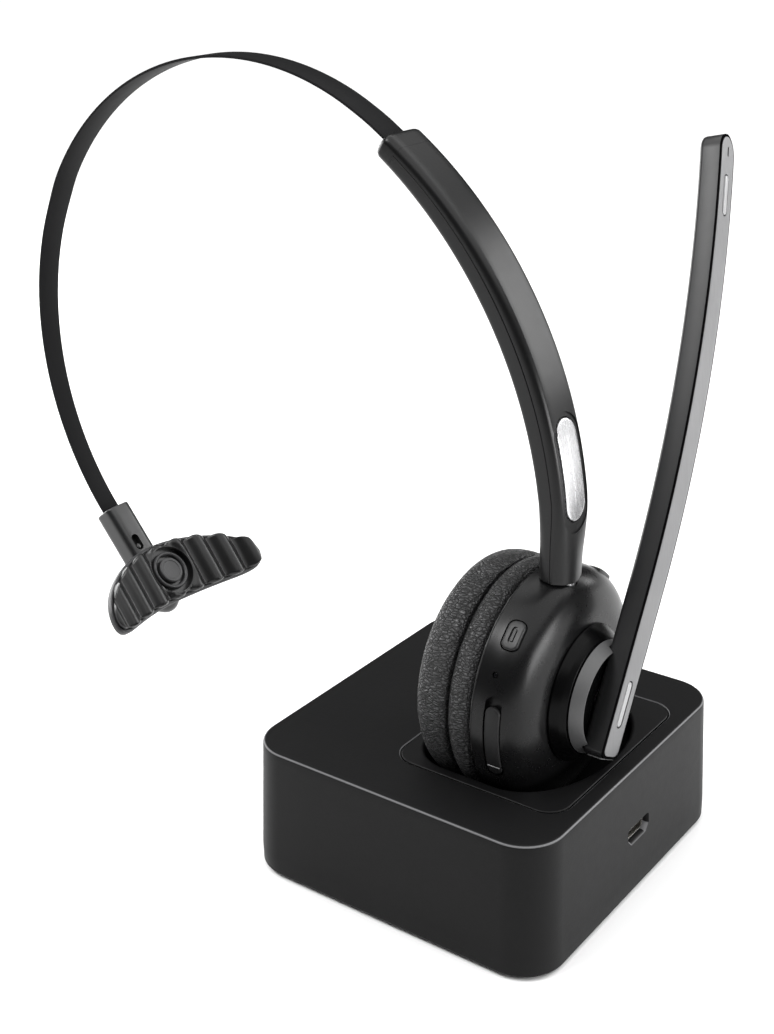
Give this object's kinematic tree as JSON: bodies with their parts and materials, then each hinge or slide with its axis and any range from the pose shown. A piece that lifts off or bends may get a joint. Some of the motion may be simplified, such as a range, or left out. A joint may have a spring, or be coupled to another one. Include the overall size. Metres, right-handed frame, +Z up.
{
  "type": "office headset",
  "caption": "Single-ear wireless headset with a boom microphone, sliding headband and temple pad, seated in its square desktop charging dock.",
  "frame": {"origin": "middle of the dock's base pad, on the table", "axes": "+Z up, +X towards the dock's socket side and the boom, -Y towards the cup's socket flap; the headband arches over towards -X"},
  "size_m": [0.1927, 0.1151, 0.1928],
  "materials": {
    "arm_plastic": "satin black",
    "badge_metal": "polished, blank",
    "ballast_steel": "raw",
    "band_steel": "satin black coated spring steel",
    "base_plastic": "matte",
    "base_rubber": "matte",
    "battery_wrap": "foil wrap",
    "bezel_gloss": "polished black",
    "boom_face_metal": "satin light grey",
    "boom_key": "satin grey",
    "boom_plastic": "satin dark grey",
    "bush_brass": "turned",
    "circuit_board": "green solder mask",
    "contact_gold": "gold plated",
    "cradle_plastic": "satin",
    "cup_plastic": "satin black",
    "dock_plastic": "fine matte grain",
    "driver_plastic": "satin",
    "flap_rubber": "soft matte",
    "holder_gloss": "polished black",
    "hub_gloss": "polished black",
    "inner_plastic": "matte",
    "key_plastic": "satin black",
    "leatherette": "wrinkled black leatherette",
    "led_clear": "smoked lens",
    "magnet_metal": "nickel plated",
    "mic_metal": "satin",
    "pad_plastic": "satin",
    "pad_rubber": "ribbed, soft matte",
    "screw_steel": "zinc plated",
    "shaft_steel": "turned",
    "socket_steel": "nickel plated",
    "speaker_fabric": "fine black mesh cloth",
    "trim_metal": "satin grey"
  },
  "bodies": {
    "dock": {"dock_shell": "dock_plastic", "dock_cradle": "cradle_plastic", "dock_base_plate": "base_plastic", "dock_base_pad": "base_rubber", "dock_ballast": "ballast_steel", "dock_screw_1": "screw_steel", "dock_screw_2": "screw_steel", "dock_screw_3": "screw_steel", "dock_screw_4": "screw_steel", "dock_pcb": "circuit_board", "dock_usb_socket": "socket_steel", "pin_barrel_near": "contact_gold", "pin_barrel_far": "contact_gold"},
    "charge_pin_near": {"charge_pin_near": "contact_gold"},
    "charge_pin_far": {"charge_pin_far": "contact_gold"},
    "cup": {"ear_cushion": "leatherette", "cushion_skirt": "leatherette", "speaker_cloth": "speaker_fabric", "speaker_baffle": "inner_plastic", "speaker_driver": "driver_plastic", "speaker_magnet": "magnet_metal", "cup_housing": "cup_plastic", "bezel_ring": "bezel_gloss", "pivot_bush": "bush_brass", "charge_contact_near": "contact_gold", "charge_contact_far": "contact_gold", "led_lens": "led_clear", "battery": "battery_wrap", "main_pcb": "circuit_board", "cup_usb_socket": "socket_steel", "power_switch": "inner_plastic", "stem_bush": "bush_brass", "flap_tab": "flap_rubber"},
    "power_button": {"power_button": "key_plastic"},
    "volume_rocker": {"volume_rocker": "key_plastic"},
    "usb_flap": {"usb_flap": "flap_rubber"},
    "boom": {"boom_face": "boom_face_metal", "boom_body": "boom_plastic", "boom_inlay": "boom_key", "mic_capsule": "mic_metal", "hub_trim_ring": "trim_metal", "hub_disc": "hub_gloss", "boom_shaft": "shaft_steel", "friction_washer": "shaft_steel", "shaft_screw": "screw_steel"},
    "mute_button": {"mute_button": "boom_key"},
    "arm": {"arm_outer_shell": "arm_plastic", "arm_inner_shell": "arm_plastic", "arm_badge_plate": "badge_metal", "arm_end_cap": "arm_plastic", "arm_stem": "shaft_steel"},
    "band": {"band_strip": "band_steel", "band_holder": "holder_gloss"},
    "pad_ball": {"pad_ball": "shaft_steel"},
    "temple_pad": {"pad_stud": "pad_plastic", "pad_backing": "pad_plastic", "temple_pad": "pad_rubber", "pad_boss_ring": "pad_plastic"}
  },
  "joints": [
    {"name": "charge_pin_near_travel", "type": "slide", "parent": "dock", "child": "charge_pin_near", "axis": [0, 0, -1], "range_m": [0, 0.0008], "stiffness_N_per_m": 300, "springref_m": -0.0005},
    {"name": "charge_pin_far_travel", "type": "slide", "parent": "dock", "child": "charge_pin_far", "axis": [0, 0, -1], "range_m": [0, 0.0008], "stiffness_N_per_m": 300, "springref_m": -0.0005},
    {"name": "headset_lift", "type": "slide", "parent": "dock", "child": "cup", "axis": [0, 0, 1], "range_m": [0, 0.08]},
    {"name": "power_press", "type": "slide", "parent": "cup", "child": "power_button", "axis": [0, 0.682, -0.7314], "range_m": [0, 0.0004], "stiffness_N_per_m": 400, "springref_m": -0.0008},
    {"name": "volume_rock", "type": "hinge", "parent": "cup", "child": "volume_rocker", "pos_m": [0.02, 0.01668, 0.07166], "axis": [1, 0, 0], "range_deg": [-3, 3], "stiffness_Nm_per_rad": 0.1},
    {"name": "usb_flap_hinge", "type": "hinge", "parent": "cup", "child": "usb_flap", "pos_m": [0.0197, -0.02812, 0.04215], "axis": [1, 0, 0], "range_deg": [0, 95]},
    {"name": "boom_pivot", "type": "hinge", "parent": "cup", "child": "boom", "pos_m": [0.031, 0, 0.05107], "axis": [1, 0, 0], "range_deg": [-70, 125]},
    {"name": "mute_press", "type": "slide", "parent": "boom", "child": "mute_button", "axis": [-1, 0, 0], "range_m": [0, 0.0004], "stiffness_N_per_m": 400, "springref_m": -0.0008},
    {"name": "arm_swivel", "type": "hinge", "parent": "cup", "child": "arm", "pos_m": [0.0206, 0, 0.08], "axis": [0, 0, 1], "range_deg": [-10, 10]},
    {"name": "band_slide", "type": "hinge", "parent": "arm", "child": "band", "pos_m": [-0.0872, 0, 0.0871], "axis": [0, -1, 0], "range_deg": [0, 17]},
    {"name": "pad_twist", "type": "hinge", "parent": "band", "child": "pad_ball", "pos_m": [-0.1153, 0, 0.0425], "axis": [-0.62, 0, 0.7846], "range_deg": [-12, 12]},
    {"name": "pad_tilt", "type": "hinge", "parent": "pad_ball", "child": "temple_pad", "pos_m": [-0.1153, 0, 0.0425], "axis": [0, 1, 0], "range_deg": [-6, 6]}
  ]
}
